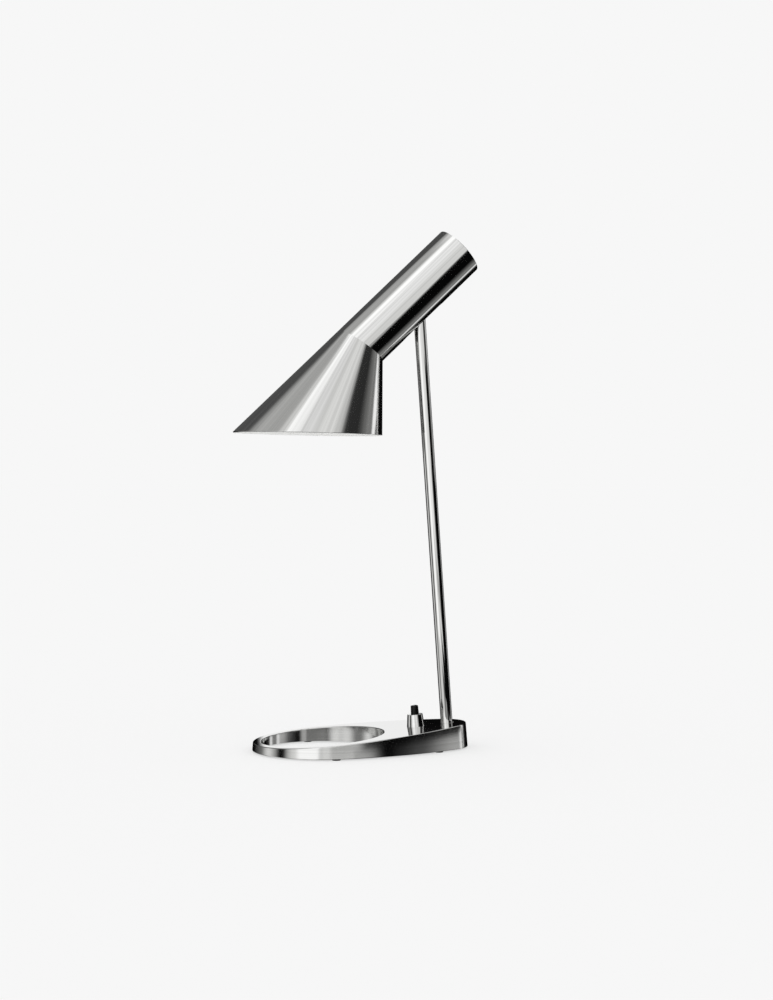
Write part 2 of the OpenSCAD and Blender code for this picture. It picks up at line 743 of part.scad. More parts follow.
module pivot_nut() {
    color([0.7, 0.7, 0.7])
    at_pivot() rotate([90, 0, 0]) translate([0, 0, -cheek_out - spring_washer_t - pivot_nut_t])
        hex_nut(pivot_nut_af, pivot_nut_t, pin_r + run_gap);
}

module holder_nipple() {
    color([0.72, 0.65, 0.4])
    at_head() translate([0, 0, holder_top + holder_cap_h / 2])
        tube(holder_cap_h / 2 + flange_sheet + 1.5 * holder_nut_t, nipple10_r, nipple10_bore);
}

module holder_nut() {
    color([0.7, 0.7, 0.7])
    at_head() translate([0, 0, flange_low_z + flange_sheet])
        hex_nut(holder_nut_af, holder_nut_t, nipple10_r + run_gap);
}

module holder_cap() {
    color([0.12, 0.12, 0.12])
    at_head() translate([0, 0, holder_top]) difference() {
        cylinder(h = holder_cap_h, r1 = holder_r, r2 = holder_cap_r);
        translate([0, 0, -cut]) cylinder(h = cut + holder_cap_h / 2, r = holder_bore_r);
        cylinder(h = holder_cap_h + cut, r = nipple10_r + run_gap);
    }
}

module holder_body() {
    color([0.12, 0.12, 0.12])
    at_head() translate([0, 0, holder_z]) difference() {
        cylinder(h = holder_l, r = holder_r);
        translate([0, 0, -cut]) cylinder(h = cut + holder_l - holder_floor_t, r = holder_bore_r);
        cylinder(h = holder_l + cut, r = rivet_r + run_gap);
    }
}

module holder_sleeve() {
    color([0.8, 0.68, 0.35])
    at_head() translate([0, 0, sleeve_low]) tube(sleeve_high - sleeve_low, sleeve_r, sleeve_r - sleeve_wall);
}

module holder_contact() {
    color([0.8, 0.68, 0.35])
    at_head() translate([0, 0, holder_top - holder_floor_t]) {
        translate([0, 0, -contact_t]) cylinder(h = contact_t, r = contact_r);
        translate([0, 0, -2 * contact_t]) cylinder(h = contact_t * 1.5, r = contact_r / 2);
        translate([0, 0, -contact_t / 2]) cylinder(h = holder_floor_t + contact_t / 2, r = rivet_r);
    }
}

module bulb_cap() {
    color([0.75, 0.7, 0.5])
    at_head() translate([0, 0, bulb_cap_low]) difference() {
        union() {
            cylinder(h = bulb_cap_l, r = bulb_cap_r);
            translate([0, 0, bulb_cap_l]) cylinder(h = tip_contact_l, r = tip_contact_r);
        }
        translate([0, 0, -cut]) cylinder(h = cut + bulb_cap_l - glass_wall, r = bulb_cap_r - glass_wall / 2);
    }
}

// Outline of the glass, one side of its wall
function candle_line(inset) =
    [for (i = [0:len(candle_r_shares) - 1])
        [i == 0 ? glass_neck_r - inset : max(candle_r_shares[i] * bulb_r - inset, 0),
         holder_z - candle_z_shares[i] * (bulb_l - (i == len(candle_r_shares) - 1 ? inset : 0))]];

function flip(list) = [for (i = [len(list) - 1:-1:0]) list[i]];

module bulb_globe() {
    color([0.95, 0.95, 0.92, 0.6])
    at_head() rotate_extrude() polygon(concat(
        [[glass_neck_r - glass_wall, holder_z + bulb_cap_l / 3],
         [glass_neck_r, holder_z + bulb_cap_l / 3]],
        candle_line(0), [[0, holder_z - bulb_l]],
        [[0, holder_z - bulb_l + glass_wall]], flip(candle_line(glass_wall))));
}

module head_lead() {
    color([0.85, 0.85, 0.82])
    at_head() for (s = [-1, 1]) translate([0, s * wire_pitch / 2, holder_top])
        cylinder(h = 1.5 * holder_cap_h + 3 * holder_nut_t, r = wire_r, $fn = wire_sides);
}

base_casting();
bottom_cover();
cover_screws();
foot_pad_front_near();
foot_pad_front_far();
foot_pad_rear_near();
foot_pad_rear_far();
inlet_bush();
terminal_block();
terminal_screws();
switch_body();
switch_washer();
switch_collar();
switch_spring();
switch_terminals();
switch_button();
stem_tube();
stem_nipple();
stem_washer();
stem_nut();
stem_knuckle();
stem_lead();
shade_tube();
shade_cone();
tube_end_cap();
pivot_bracket();
pivot_pin();
friction_washers();
pivot_spring_washer();
pivot_nut();
holder_nipple();
holder_nut();
holder_cap();
holder_body();
holder_sleeve();
holder_contact();
bulb_cap();
bulb_globe();
head_lead();
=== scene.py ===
# Task table lamp: polished steel wedge base, slim leaning stem, and a tilting head of tube and cone
import math

import bmesh
import bpy
from mathutils import Matrix, Vector


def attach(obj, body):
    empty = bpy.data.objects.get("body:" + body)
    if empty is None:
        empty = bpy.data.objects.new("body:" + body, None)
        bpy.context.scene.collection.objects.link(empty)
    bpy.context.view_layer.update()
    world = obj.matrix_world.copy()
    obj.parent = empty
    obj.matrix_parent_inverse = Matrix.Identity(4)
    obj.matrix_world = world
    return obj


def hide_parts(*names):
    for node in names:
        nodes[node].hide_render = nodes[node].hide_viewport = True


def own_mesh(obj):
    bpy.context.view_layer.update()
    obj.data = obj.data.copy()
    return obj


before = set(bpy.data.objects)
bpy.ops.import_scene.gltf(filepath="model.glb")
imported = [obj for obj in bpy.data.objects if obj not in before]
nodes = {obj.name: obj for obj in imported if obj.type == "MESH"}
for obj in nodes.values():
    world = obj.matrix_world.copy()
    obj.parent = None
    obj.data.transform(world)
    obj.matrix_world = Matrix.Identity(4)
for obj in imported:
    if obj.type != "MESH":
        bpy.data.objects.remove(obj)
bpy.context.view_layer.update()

mm = 0.001
fullTurn = 2 * math.pi
scene = bpy.context.scene


def linear(code):
    # sRGB hex to the linear colour that Blender's sockets take
    shares = [int(code[i:i + 2], 16) / 255 for i in (0, 2, 4)]
    return [s / 12.92 if s <= 0.04045 else ((s + 0.055) / 1.055) ** 2.4 for s in shares] + [1.0]


def addNode(tree, kind, settings=None, inputs=None, stops=None):
    # One shader node with its settings, its input values or links, and a ramp's stops
    node = tree.nodes.new("ShaderNode" + kind)
    for name, value in (settings or {}).items():
        setattr(node, name, value)
    for name, value in (inputs or {}).items():
        if isinstance(value, bpy.types.NodeSocket):
            tree.links.new(value, node.inputs[name])
        else:
            node.inputs[name].default_value = value
    for count, (position, colour) in enumerate(stops or []):
        elements = node.color_ramp.elements
        stop = elements[count] if count < 2 else elements.new(position)
        stop.position, stop.color = position, colour
    return node


def startMaterial(name):
    material = bpy.data.materials.new(name)
    material.use_nodes = True
    material.node_tree.nodes.clear()
    return material, material.node_tree


def addObject(name, data):
    thing = bpy.data.objects.new(name, data)
    scene.collection.objects.link(thing)
    return thing


def meshFrom(bm, name):
    mesh = bpy.data.meshes.new(name)
    bm.to_mesh(mesh)
    bm.free()
    return mesh


def turnRound(bm, geom, angle, steps, centre=(0, 0), climb=0):
    # Sweeps points, edges and faces about an upright axis and gives what lies at the end of the sweep
    return bmesh.ops.spin(bm, geom=geom, cent=(*centre, 0), axis=(0, 0, 1), angle=angle, steps=steps,
                          use_merge=angle == fullTurn, dvec=(0, 0, climb))["geom_last"]


# Camera, at the photograph's viewing angle: its place in mm, its turn and dip in degrees
cameraPlan = {
    "place": (-370.9, -1590.8, 230.55),
    "turn": -14.0,
    "down": 0.773,
    "lens": 70.45,
    "sensor": 36,
    "farClip": 200,  # metres
}
camera = addObject("camera", bpy.data.cameras.new("camera"))
camera.location = [v * mm for v in cameraPlan["place"]]
camera.rotation_euler = (math.radians(90 - cameraPlan["down"]), 0, math.radians(cameraPlan["turn"]))
camera.data.lens = cameraPlan["lens"]
camera.data.sensor_width = cameraPlan["sensor"]
camera.data.clip_end = cameraPlan["farClip"]
scene.camera = camera
scene.view_settings.view_transform = "Standard"
print("camera set")

# Studio: plain white light all round, and named cards that only polished surfaces mirror.
# A card's middle, half width and soft edge are degrees round from the front, and its heights are mm.
# A later card stands in front of an earlier one.
studioPlan = {
    "backdrop": "F7F7F7",
    "turn": 14.0,  # degrees from the frame's front to the camera's
    "cardDistance": 1300,
    "cardGain": 1.3,
    "heightEdge": 12,  # mm over which a card fades at its top and foot
    "tones": {"white": "F8F8F8", "light": "E0E0E0", "pale": "CECECD", "grey": "9F9F9E", "mid": "777776",
              "dim": "484848", "dark": "2A2A2A", "black": "060606"},
    "room": "black",
    "cards": {
        # Behind
        "rearWall": {"middle": -140, "half": 45, "edge": 20, "low": 250, "high": 1300, "tone": "dim"},
        "rearFloor": {"middle": 180, "half": 55, "edge": 20, "low": -1300, "high": -300, "tone": "mid"},
        # Left
        "leftWall": {"middle": -85, "half": 38, "edge": 25, "low": -1300, "high": 900, "tone": "mid"},
        "leftTop": {"middle": -87, "half": 37, "edge": 8, "low": 900, "high": 1300, "tone": "grey"},
        "leftScreen": {"middle": -96, "half": 10, "edge": 10, "low": -1300, "high": 150, "tone": "pale"},
        "leftFlag": {"middle": -69, "half": 8, "edge": 5, "low": -120, "high": 500, "tone": "black"},
        "leftFloor": {"middle": -68, "half": 8, "edge": 8, "low": -1300, "high": -120, "tone": "mid"},
        "leftFill": {"middle": -46, "half": 12, "edge": 10, "low": -1300, "high": 1300, "tone": "pale"},
        # Front
        "keyBox": {"middle": -25, "half": 18, "edge": 5, "low": -120, "high": 1300, "tone": "white"},
        "keyFloor": {"middle": -25, "half": 12, "edge": 10, "low": -1300, "high": -120, "tone": "pale"},
        "frontWall": {"middle": 26, "half": 34, "edge": 6, "low": -120, "high": 1300, "tone": "pale"},
        "frontGlow": {"middle": 4, "half": 11, "edge": 6, "low": 250, "high": 1300, "tone": "light"},
        "frontLow": {"middle": 8, "half": 18, "edge": 6, "low": 100, "high": 250, "tone": "light"},
        "frontShade": {"middle": 35, "half": 7, "edge": 6, "low": 100, "high": 250, "tone": "grey"},
        "frontTable": {"middle": 28, "half": 20, "edge": 4, "low": 15, "high": 75, "tone": "grey"},
        "footShade": {"middle": 34, "half": 24, "edge": 8, "low": -145, "high": -35, "tone": "black"},
        "frontFloor": {"middle": 20, "half": 28, "edge": 6, "low": -1300, "high": -145, "tone": "mid"},
        # Right
        "rightWall": {"middle": 106, "half": 15, "edge": 17, "low": -1300, "high": 1300, "tone": "mid"},
        "rightFlag": {"middle": 61, "half": 20, "edge": 3, "low": -1300, "high": 420, "tone": "black"},
        "rightDusk": {"middle": 72, "half": 13, "edge": 8, "low": 420, "high": 1300, "tone": "dark"},
        "stemFlag": {"middle": 84, "half": 28, "edge": 5, "low": -60, "high": 280, "tone": "black"},
        "rightBox": {"middle": 119, "half": 4, "edge": 4, "low": -1300, "high": 1300, "tone": "light"},
        "rightBoxTop": {"middle": 121, "half": 6, "edge": 3, "low": 400, "high": 700, "tone": "white"},
        # Above, and one card straight behind
        "rearTop": {"middle": 142, "half": 42, "edge": 12, "low": 850, "high": 1400, "tone": "pale"},
        "topBox": {"middle": 0, "half": 190, "edge": 0.1, "low": 1250, "high": 1400, "tone": "white"},
        "backScreen": {"middle": -176.8, "half": 5.3, "edge": 0.3, "low": 100, "high": 500, "tone": "light"},
    },
}

# Low band near the lamp, again for polished surfaces only. It hangs about the floor's level, so mostly the
# walls of the base mirror it, which gives those walls soft bands of their own.
bandPlan = {
    "distance": 260, "from": 30, "to": 112, "low": -60, "high": 9, "steps": 60,
    "cards": {
        "frontStrip": {"middle": 32, "half": 10, "edge": 5, "low": -90, "high": 40, "tone": "grey"},
        "darkStrip": {"middle": 62, "half": 8, "edge": 5, "low": -90, "high": 40, "tone": "dark"},
        "dimStrip": {"middle": 73, "half": 10, "edge": 6, "low": -90, "high": 40, "tone": "dim"},
        "greyStrip": {"middle": 94, "half": 15, "edge": 11, "low": -90, "high": 40, "tone": "grey"},
        "lightStrip": {"middle": 103, "half": 4, "edge": 4, "low": -90, "high": 40, "tone": "light"},
    },
}


def buildStudio(plan):
    # The white world lights the lamp, while the camera and mirrors see the backdrop's tone in its place
    world = bpy.data.worlds.new("studio")
    scene.world = world
    world.use_nodes = True
    world.cycles.sampling_method = "NONE"
    tree = world.node_tree
    tree.nodes.clear()
    rays = addNode(tree, "LightPath").outputs
    seen = rays["Is Camera Ray"]
    for kind in ("Is Transmission Ray", "Is Glossy Ray"):
        seen = addNode(tree, "Math", {"operation": "MAXIMUM"}, {0: seen, 1: rays[kind]}).outputs[0]
    plain = addNode(tree, "Background", None, {"Color": (1, 1, 1, 1), "Strength": 1.0})
    shown = addNode(tree, "Background", None, {"Color": linear(plan["backdrop"]), "Strength": 1.0})
    final = addNode(tree, "MixShader", None, {0: seen, 1: plain.outputs[0], 2: shown.outputs[0]})
    addNode(tree, "OutputWorld", None, {"Surface": final.outputs[0]})


def cardShare(tree, value, middle, half, edge, turnsRound):
    # 1 inside a band of the value and 0 outside it, with a soft edge
    offset = addNode(tree, "Math", {"operation": "SUBTRACT"}, {0: value, 1: middle}).outputs[0]
    if turnsRound:
        offset = addNode(tree, "Math", {"operation": "WRAP"},
                         {0: offset, 1: math.pi, 2: -math.pi}).outputs[0]
    reach = addNode(tree, "Math", {"operation": "ABSOLUTE"}, {0: offset}).outputs[0]
    return addNode(tree, "MapRange", {"interpolation_type": "SMOOTHSTEP"},
                   {"Value": reach, "From Min": half - edge, "From Max": half + edge,
                    "To Min": 1.0, "To Max": 0.0}).outputs[0]


def hangCards(mesh, cards):
    # Only polished surfaces mirror the piece. Its colour is the room's, with each card laid over the last.
    holder = addObject(mesh.name, mesh)
    holder.visible_camera = holder.visible_diffuse = holder.visible_transmission = False
    holder.visible_shadow = holder.visible_volume_scatter = False
    material, tree = startMaterial(mesh.name)
    material.cycles.emission_sampling = "NONE"
    tones = studioPlan["tones"]
    place = addNode(tree, "TexCoord").outputs["Object"]
    turned = addNode(tree, "VectorRotate", {"rotation_type": "Z_AXIS"},
                     {"Vector": place, "Angle": math.radians(studioPlan["turn"])})
    split = addNode(tree, "SeparateXYZ", None, {"Vector": turned.outputs[0]}).outputs
    front = addNode(tree, "Math", {"operation": "MULTIPLY"}, {0: split["Y"], 1: -1.0}).outputs[0]
    around = addNode(tree, "Math", {"operation": "ARCTAN2"}, {0: split["X"], 1: front}).outputs[0]
    colour = linear(tones[studioPlan["room"]])
    for card in cards.values():
        middle, half, edge = (math.radians(card[key]) for key in ("middle", "half", "edge"))
        wide = cardShare(tree, around, middle, half, edge, True)
        tall = cardShare(tree, split["Z"], (card["low"] + card["high"]) / 2 * mm,
                         (card["high"] - card["low"]) / 2 * mm, studioPlan["heightEdge"] * mm, False)
        share = addNode(tree, "Math", {"operation": "MULTIPLY"}, {0: wide, 1: tall}).outputs[0]
        colour = addNode(tree, "Mix", {"data_type": "RGBA"},
                         {0: share, 6: colour, 7: linear(tones[card["tone"]])}).outputs[2]
    glow = addNode(tree, "Emission", None, {"Color": colour, "Strength": studioPlan["cardGain"]})
    addNode(tree, "OutputMaterial", None, {"Surface": glow.outputs[0]})
    mesh.materials.append(material)


def buildCards(plan):
    bm = bmesh.new()
    bmesh.ops.create_uvsphere(bm, u_segments=96, v_segments=48, radius=plan["cardDistance"] * mm)
    hangCards(meshFrom(bm, "cards"), plan["cards"])


def buildBand(plan):
    bm = bmesh.new()
    start = math.radians(plan["from"] - studioPlan["turn"])
    x, y = plan["distance"] * math.sin(start) * mm, -plan["distance"] * math.cos(start) * mm
    ends = [bm.verts.new((x, y, height * mm)) for height in (plan["low"], plan["high"])]
    edge = bm.edges.new(ends)
    turnRound(bm, ends + [edge], math.radians(plan["to"] - plan["from"]), plan["steps"])
    hangCards(meshFrom(bm, "lowBand"), plan["cards"])


buildStudio(studioPlan)
buildCards(studioPlan)
buildBand(bandPlan)

# Floor: pale paper that runs into the backdrop and keeps a faint shadow of the lamp.
# For the camera, the share ownLight of its tone is its own light.
floorPlan = {
    "radius": 30000,
    "colour": "F7F7F7",
    "ownLight": 0.55,
}


def buildFloor(plan):
    bm = bmesh.new()
    bmesh.ops.create_circle(bm, cap_ends=True, radius=plan["radius"] * mm, segments=64)
    floor = addObject("floor", meshFrom(bm, "floor"))
    floor.visible_glossy = False
    paper, tree = startMaterial("palePaper")
    colour = linear(plan["colour"])
    matt = addNode(tree, "BsdfDiffuse", None, {"Color": colour})
    even = addNode(tree, "Emission", None, {"Color": colour, "Strength": 1.0})
    rays = addNode(tree, "LightPath")
    share = addNode(tree, "Math", {"operation": "MULTIPLY"},
                    {0: rays.outputs["Is Camera Ray"], 1: plan["ownLight"]})
    mixed = addNode(tree, "MixShader", None, {0: share.outputs[0], 1: matt.outputs[0], 2: even.outputs[0]})
    # From underneath the paper is clear, so the underside of the lamp can be looked at
    under = addNode(tree, "NewGeometry").outputs["Backfacing"]
    clear = addNode(tree, "BsdfTransparent")
    final = addNode(tree, "MixShader", None, {0: under, 1: mixed.outputs[0], 2: clear.outputs[0]})
    addNode(tree, "OutputMaterial", None, {"Surface": final.outputs[0]})
    floor.data.materials.append(paper)


buildFloor(floorPlan)
print("studio and floor built")

# Places of the pieces in the frame, in mm and degrees
placePlan = {
    "pivot": (52.693, 0, 384.15),
    "tubeAngle": 43.67,
    "bendToPivot": 72.9,
    "tubeRadius": 21.9,
    "coneHalfAngle": 22.65,
    "stemFoot": (79.555, 0, 0),
    "stemLean": 4.0,
    "switchFoot": (51.175, 0, 18.003),
    "inletSeat": (89.255, 0, 9.5),
    "baseTip": (-87.545, 0, 7.5),
    "baseSlope": 4.33,
}


def placeAt(point, degrees):
    # A place in the frame that is turned about the y axis
    return Matrix.Translation(point) @ Matrix.Rotation(math.radians(degrees), 4, "Y")


stemFrame = placeAt(placePlan["stemFoot"], -placePlan["stemLean"])
switchFrame = placeAt(placePlan["switchFoot"], -placePlan["baseSlope"])
inletFrame = placeAt(placePlan["inletSeat"], 90)
headFrame = (placeAt(placePlan["pivot"], 90 - placePlan["tubeAngle"])
             @ Matrix.Translation((0, 0, -placePlan["bendToPivot"])))
baseTip = Vector(placePlan["baseTip"])
baseSlope = math.radians(placePlan["baseSlope"])
topNormal = Vector((-math.sin(baseSlope), 0, math.cos(baseSlope)))
tubeRadius = placePlan["tubeRadius"]
coneHalf = math.radians(placePlan["coneHalfAngle"])
coneApex = Vector((-tubeRadius, 0, tubeRadius / math.tan(coneHalf)))
coneInHead = placeAt(coneApex, -placePlan["coneHalfAngle"])


# Finishes. Grain sizes are in mm along the piece's own x, y and z.
def grainField(tree, grain, place=None, detail=2.0):
    # Noise on Object coordinates, stretched to the grain's real size in the piece's own direction
    where = place or Matrix.Identity(4)
    mapped = addNode(tree, "Mapping", {"vector_type": "TEXTURE"},
                     {"Vector": addNode(tree, "TexCoord").outputs["Object"],
                      "Location": where.translation * mm, "Rotation": where.to_euler(),
                      "Scale": [size * mm for size in grain]})
    return addNode(tree, "TexNoise", None, {"Vector": mapped.outputs[0], "Scale": 1.0, "Detail": detail,
                                            "Roughness": 0.55}).outputs[0]


def streakField(tree, streak, place):
    # Noise that follows the straight lines of a tube or cone round the place's z axis
    radius, width, length = streak
    mapped = addNode(tree, "Mapping", {"vector_type": "TEXTURE"},
                     {"Vector": addNode(tree, "TexCoord").outputs["Object"],
                      "Location": place.translation * mm, "Rotation": place.to_euler(),
                      "Scale": (mm, mm, mm)}).outputs[0]
    flat = addNode(tree, "VectorMath", {"operation": "MULTIPLY"}, {0: mapped, 1: (1, 1, 0)}).outputs[0]
    around = addNode(tree, "VectorMath", {"operation": "NORMALIZE"}, {0: flat}).outputs[0]
    around = addNode(tree, "VectorMath", {"operation": "MULTIPLY"},
                     {0: around, 1: [radius / width] * 3}).outputs[0]
    where = addNode(tree, "VectorMath", {"operation": "MULTIPLY_ADD"},
                    {0: mapped, 1: (0, 0, 1 / length), 2: around}).outputs[0]
    return addNode(tree, "TexNoise", None, {"Vector": where, "Scale": 1.0, "Detail": 2.0,
                                            "Roughness": 0.5}).outputs[0]


noisePlan = {
    "span": (0.3, 0.7),  # where nearly all of a noise's values lie
    "metalCloud": (30, 30, 30), "plainCloud": (12, 12, 12),  # mm of the broad, cloudy change
    "cloudDetail": 3.0,
    "grainShare": 0.4,  # how much of a metal's change in gloss comes from its grain
}


def surfaceFinish(name, plan, place=None):
    # The grain is felt as a fine bump. Metal also takes its tone from the grain, and its gloss from grain
    # and cloud. Plastic, rubber, paint and fibre take both from the cloud.
    material, tree = startMaterial(name)
    metal = name in metals
    if "streak" in plan:
        grain = streakField(tree, plan["streak"], place)
    else:
        grain = grainField(tree, plan["grain"], place)
    cloudSize = noisePlan["metalCloud" if metal else "plainCloud"]
    cloud = grainField(tree, cloudSize, place, noisePlan["cloudDetail"])
    uneven = cloud
    if metal:
        uneven = addNode(tree, "Mix", None, {0: noisePlan["grainShare"], 2: cloud, 3: grain}).outputs[0]
    first, last = noisePlan["span"]
    tone = addNode(tree, "ValToRGB", None, {"Fac": grain if metal else cloud},
                   [(first, linear(plan["dark"])), (last, linear(plan["colour"]))])
    low, high = plan["roughness"]
    rough = addNode(tree, "MapRange", None,
                    {"Value": uneven, "From Min": first, "From Max": last, "To Min": low, "To Max": high})
    bump = addNode(tree, "Bump", None,
                   {"Height": grain, "Strength": plan["bump"], "Distance": plan["depth"] * mm})
    own = {"Metallic": 1.0} if metal else {"IOR": plan.get("ior", 1.5)}
    shader = addNode(tree, "BsdfPrincipled", None,
                     {"Base Color": tone.outputs["Color"], "Roughness": rough.outputs[0],
                      "Normal": bump.outputs[0], **own})
    addNode(tree, "OutputMaterial", None, {"Surface": shader.outputs[0]})
    return material


def glassFinish(name, plan):
    # Opal glass: milky, so it glows evenly and hides the filament
    material, tree = startMaterial(name)
    first, last = noisePlan["span"]
    low, high = plan["roughness"]
    cloud = grainField(tree, plan["grain"])
    rough = addNode(tree, "MapRange", None,
                    {"Value": cloud, "From Min": first, "From Max": last, "To Min": low, "To Max": high})
    shader = addNode(tree, "BsdfPrincipled", None,
                     {"Base Color": linear(plan["colour"]), "Roughness": rough.outputs[0],
                      "IOR": plan["ior"], "Transmission Weight": plan["clear"]})
    addNode(tree, "OutputMaterial", None, {"Surface": shader.outputs[0]})
    return material


finishPlan = {
    # Stainless steel polished on a wheel: a bright, nearly colourless mirror, with faint level marks
    "polishedTop": {"colour": "E6E6E5", "dark": "E0E0DF", "grain": (40, 0.6, 40), "roughness": (0.03, 0.05),
                    "bump": 0.004, "depth": 0.01},
    # The drawn stem is polished along its length, so its stripes stay crisp
    "polishedStem": {"colour": "E6E6E5", "dark": "DEDEDD", "grain": (1.2, 1.2, 60),
                     "roughness": (0.02, 0.04), "bump": 0.004, "depth": 0.01},
    # The head is brushed lengthwise and then polished: what it mirrors is soft, with streaks along the tube.
    # Streaks are drawn coarser than real ones to show: the three numbers are mm of radius, width and length.
    "brushedTube": {"colour": "ECECEB", "dark": "D2D2D1", "streak": (tubeRadius, 1.3, 400),
                    "roughness": (0.07, 0.11), "bump": 0.3, "depth": 0.05},
    # The cone is the same steel, with streaks that fan out from the bend
    "brushedCone": {"colour": "ECECEB", "dark": "D0D0CF", "streak": (40, 2.4, 400),
                    "roughness": (0.08, 0.12), "bump": 0.3, "depth": 0.07},
    # Collar turned on a lathe: hair-fine rings round it, under strong upright stripes
    "turnedCollar": {"colour": "E4E4E3", "dark": "DADAD9", "grain": (9, 9, 0.5), "roughness": (0.03, 0.06),
                     "bump": 0.01, "depth": 0.01},
    # The base wall is brushed along the outline: fine level lines that soften what it mirrors.
    # Real lines are under 0.1 mm apart, and these are drawn 0.9 mm apart to show.
    "brushedWall": {"colour": "E6E6E5", "dark": "D6D6D5", "grain": (300, 300, 0.9),
                    "roughness": (0.08, 0.14), "bump": 0.1, "depth": 0.02},
    # White enamel sprayed inside the cone: plain and bright, with a soft orange-peel gloss
    "whiteEnamel": {"colour": "FBFBFA", "dark": "F6F6F4", "grain": (1.5, 1.5, 1.5), "roughness": (0.3, 0.4),
                    "bump": 0.03, "depth": 0.05},
    # Grey powder paint on the cover plate: dull, with a fine even pimple
    "greyPaint": {"colour": "8A8B8D", "dark": "828385", "grain": (0.8, 0.8, 0.8), "roughness": (0.45, 0.6),
                  "bump": 0.1, "depth": 0.03},
    # Zinc-plated steel fasteners: cool and slightly cloudy
    "zincSteel": {"colour": "C9CACC", "dark": "B4B6B9", "grain": (3, 3, 3), "roughness": (0.25, 0.4),
                  "bump": 0.05, "depth": 0.02},
    # Moulded rubber pads: black with no shine
    "mattRubber": {"colour": "262626", "dark": "1C1C1C", "grain": (0.5, 0.5, 0.5), "roughness": (0.7, 0.85),
                   "bump": 0.2, "depth": 0.04},
    # Moulded black nylon: a low, waxy sheen on the bush's rim
    "blackNylon": {"colour": "232323", "dark": "1B1B1B", "grain": (0.6, 0.6, 0.6), "roughness": (0.45, 0.6),
                   "bump": 0.12, "depth": 0.03},
    # Unfilled nylon of the terminal block: creamy and a little uneven
    "paleNylon": {"colour": "E8E5DC", "dark": "DEDACE", "grain": (0.8, 0.8, 0.8), "roughness": (0.4, 0.55),
                  "bump": 0.08, "depth": 0.03},
    # Machined brass: warm yellow with drawn lines
    "bareBrass": {"colour": "E3C47A", "dark": "CBA95E", "grain": (1, 1, 12), "roughness": (0.2, 0.35),
                  "bump": 0.05, "depth": 0.01},
    # Pressed phenolic of the switch and lampholder: near black with a hard half gloss
    "blackPhenolic": {"colour": "292827", "dark": "1F1E1D", "grain": (0.9, 0.9, 0.9),
                      "roughness": (0.35, 0.5), "bump": 0.08, "depth": 0.03},
    # Drawn spring wire: grey and bright along each turn
    "springWire": {"colour": "C4C5C8", "dark": "A9ABAF", "grain": (2, 2, 0.4), "roughness": (0.25, 0.4),
                   "bump": 0.1, "depth": 0.03},
    # Polished black ABS of the button: deep black with one thin highlight
    "glossBlack": {"colour": "080808", "dark": "060606", "ior": 1.35, "grain": (1.2, 1.2, 1.2),
                   "roughness": (0.1, 0.14), "bump": 0.01, "depth": 0.02},
    # Turned steel of the hinge eye: satin with tool rings
    "turnedSteel": {"colour": "D2D2D1", "dark": "BDBDBC", "grain": (6, 0.5, 6), "roughness": (0.18, 0.3),
                    "bump": 0.08, "depth": 0.02},
    # Silicone sheath of the inner wires: soft off-white
    "paleSheath": {"colour": "E2E0D8", "dark": "D8D5CB", "grain": (1.5, 1.5, 1.5), "roughness": (0.4, 0.5),
                   "bump": 0.04, "depth": 0.03},
    # Vented end cap moulded in matt black plastic; its black is partly painted shade, so the tube's end
    # reads as a dark opening
    "capBlackShade": {"colour": "222222", "dark": "191919", "grain": (0.7, 0.7, 0.7), "roughness": (0.5, 0.65),
                 "bump": 0.12, "depth": 0.03},
    # Mill-finished sheet of the hinge bracket: dull grey with rolling lines
    "millSheet": {"colour": "B4B6B8", "dark": "9B9DA0", "grain": (1.5, 1.5, 25), "roughness": (0.3, 0.45),
                  "bump": 0.08, "depth": 0.02},
    # Pressed brown fibre of the friction washers: dry and speckled
    "pressedFibre": {"colour": "7A5A45", "dark": "5E4433", "grain": (0.5, 0.5, 0.5),
                     "roughness": (0.75, 0.9), "bump": 0.25, "depth": 0.05},
    # Nickel-plated screw cap of the bulb: warm silver
    "nickelCap": {"colour": "D9D4C4", "dark": "C6C0AE", "grain": (8, 8, 0.6), "roughness": (0.2, 0.32),
                  "bump": 0.05, "depth": 0.02},
    # Opal glass: milky all through, with a smooth, wet-looking skin
    "opalGlass": {"colour": "FDFDFB", "grain": (6, 6, 6), "roughness": (0.08, 0.14),
                  "ior": 1.5, "clear": 0.25},
}
metals = ("polishedTop", "polishedStem", "brushedTube", "brushedCone", "turnedCollar", "brushedWall",
          "zincSteel", "bareBrass", "springWire", "turnedSteel", "millSheet", "nickelCap")
finishPlace = {"polishedStem": stemFrame, "brushedTube": headFrame, "brushedCone": headFrame @ coneInHead,
               "turnedCollar": switchFrame}
finishes = {}
for name, plan in finishPlan.items():
    if name == "opalGlass":
        finishes[name] = glassFinish(name, plan)
    else:
        finishes[name] = surfaceFinish(name, plan, finishPlace.get(name))
print("finishes made:", len(finishes))

# Shaping helpers. All shapes are made in mm.
touch = 1e-3  # points nearer than this count as one
near = 0.01  # an edge this near a height counts as lying at it
past = 1  # a cutting shape runs this far past what it cuts


def settle(bm):
    # Puts vertices and faces in a fixed order, so every run gives the same mesh
    places = sorted(bm.verts, key=lambda v: tuple(round(value, 3) for value in v.co))
    order = {v: count for count, v in enumerate(places)}
    faces = []
    for face in bm.faces:
        ring = [order[v] for v in face.verts]
        first = ring.index(min(ring))
        faces.append((ring[first:] + ring[:first], face.material_index))
    places = [v.co.copy() for v in places]
    bm.clear()
    verts = [bm.verts.new(place) for place in places]
    for ring, material in sorted(faces):
        bm.faces.new([verts[count] for count in ring]).material_index = material
    bm.normal_update()


